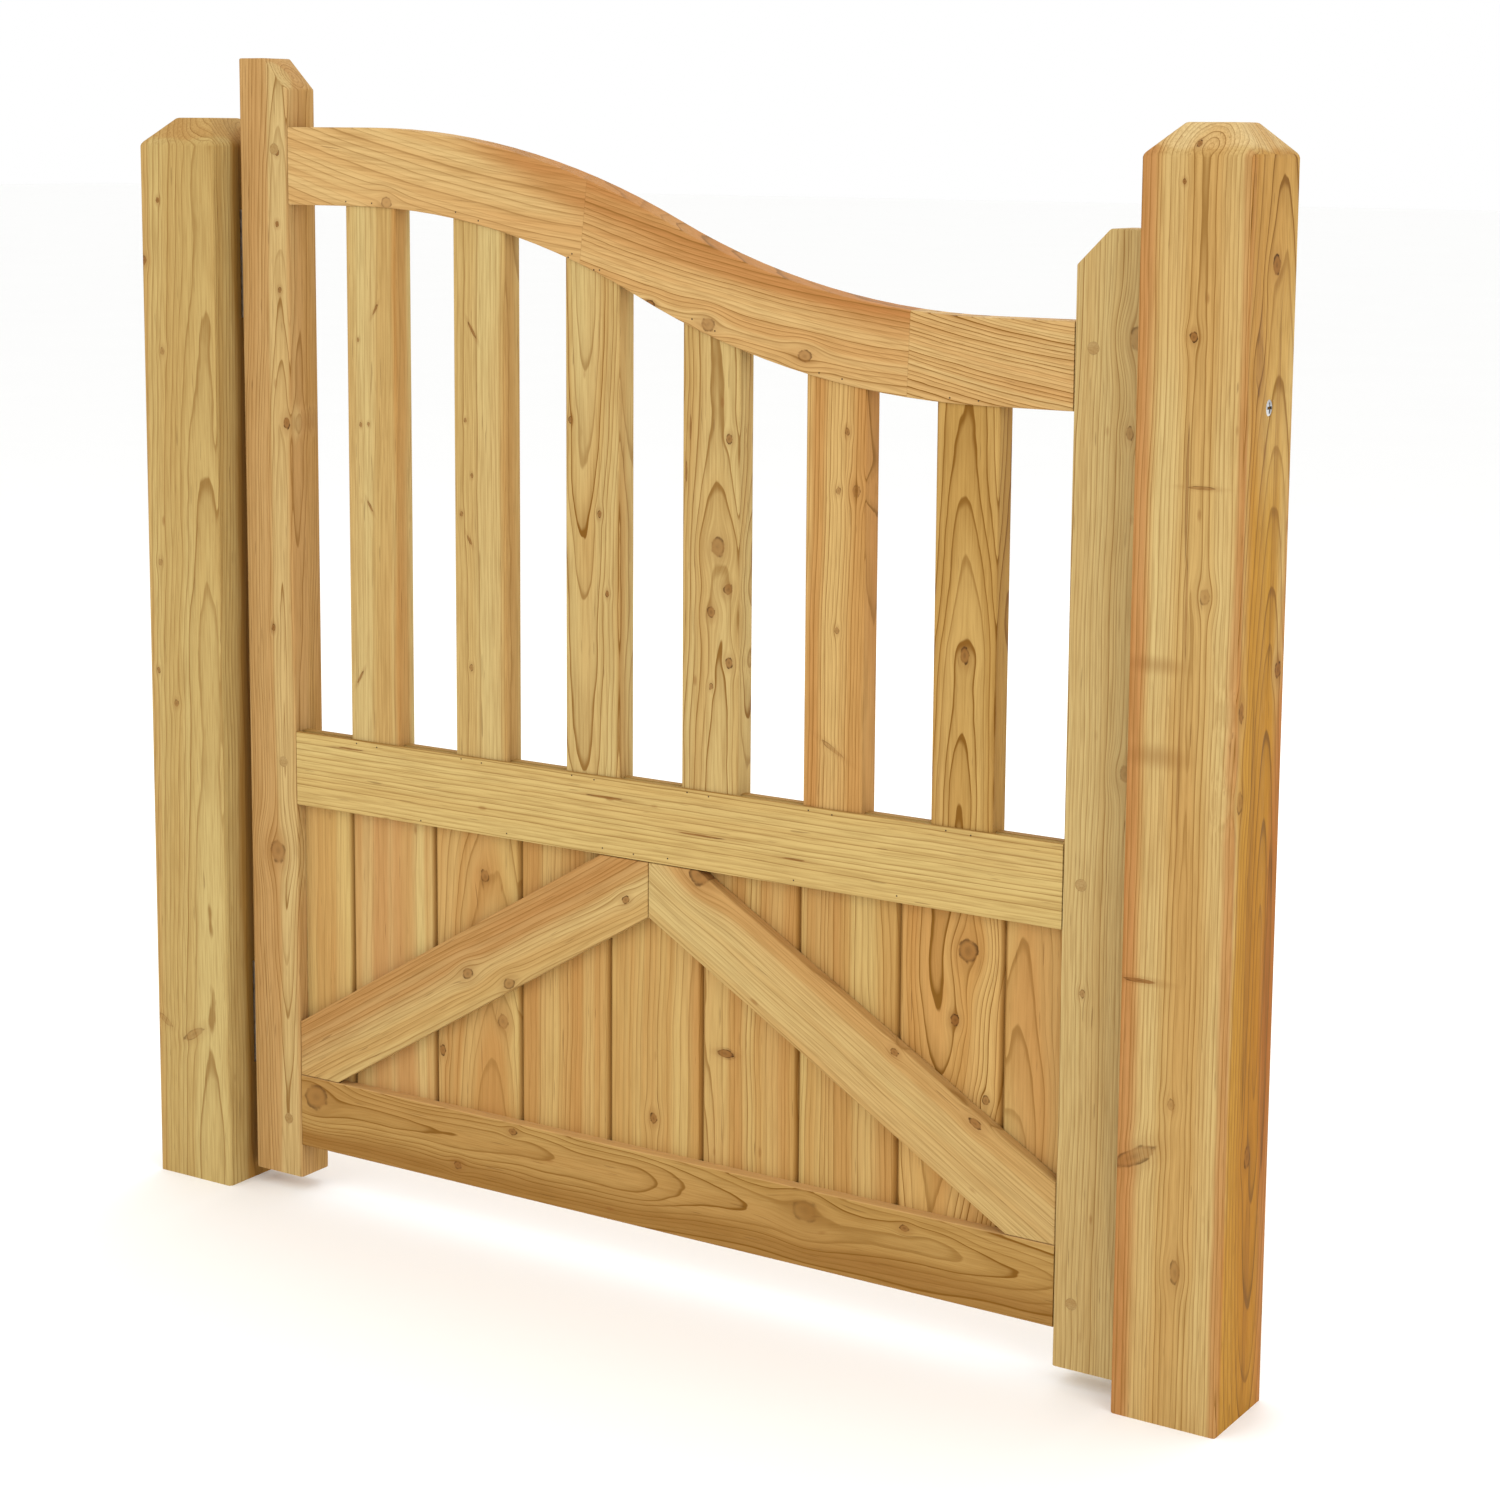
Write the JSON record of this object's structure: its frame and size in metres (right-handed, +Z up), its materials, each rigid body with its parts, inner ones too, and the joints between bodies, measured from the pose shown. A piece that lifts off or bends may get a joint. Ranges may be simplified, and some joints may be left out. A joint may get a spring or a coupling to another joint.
{
  "type": "curved top garden gate",
  "caption": "Timber garden gate with an ogee curved top rail, pales over a braced boarded panel, hung on butt hinges between two square posts, with a sliding bolt.",
  "frame": {"origin": "on the ground, midway between the posts' outer faces and in the middle of their depth", "axes": "+X along the gate from the hinge post to the latch post, +Y to the side that the gate opens to, +Z up"},
  "size_m": [1.113, 0.09, 1.07],
  "materials": {
    "post_timber": "planed softwood",
    "frame_timber": "planed softwood",
    "pale_timber": "planed softwood",
    "board_timber": "planed softwood",
    "peg_timber": "end grain dowel",
    "zinc_plate": "zinc plated",
    "bright_steel": "bright zinc plated"
  },
  "bodies": {
    "posts": {"hinge_post": "post_timber", "latch_post": "post_timber", "hinge_lower_post_flap": "zinc_plate", "hinge_upper_post_flap": "zinc_plate", "hinge_lower_pin": "zinc_plate", "hinge_upper_pin": "zinc_plate", "hinge_post_screws": "zinc_plate", "bolt_keep": "zinc_plate", "bolt_keep_screws": "zinc_plate", "post_fixing_screw": "bright_steel"},
    "gate_leaf": {"hanging_stile": "frame_timber", "shutting_stile": "frame_timber", "bottom_rail": "frame_timber", "mid_rail": "frame_timber", "curved_top_rail": "frame_timber", "hanging_brace": "frame_timber", "shutting_brace": "frame_timber", "pale_1": "pale_timber", "pale_2": "pale_timber", "pale_3": "pale_timber", "pale_4": "pale_timber", "pale_5": "pale_timber", "pale_6": "pale_timber", "board_1": "board_timber", "board_2": "board_timber", "board_3": "board_timber", "board_4": "board_timber", "board_5": "board_timber", "board_6": "board_timber", "board_7": "board_timber", "board_8": "board_timber", "board_9": "board_timber", "hanging_stile_pegs": "peg_timber", "shutting_stile_pegs": "peg_timber", "hinge_lower_gate_flap": "zinc_plate", "hinge_upper_gate_flap": "zinc_plate", "hinge_gate_screws": "zinc_plate", "bolt_plate": "zinc_plate", "bolt_plate_screws": "zinc_plate"},
    "bolt": {"bolt_bar": "bright_steel", "bolt_knob": "bright_steel"}
  },
  "joints": [
    {"name": "gate_swing", "type": "hinge", "parent": "posts", "child": "gate_leaf", "pos_m": [-0.461, 0.025, 0.525], "axis": [0, 0, 1], "range_deg": [0, 105]},
    {"name": "bolt_slide", "type": "slide", "parent": "gate_leaf", "child": "bolt", "axis": [1, 0, 0], "range_m": [0, 0.022]}
  ]
}
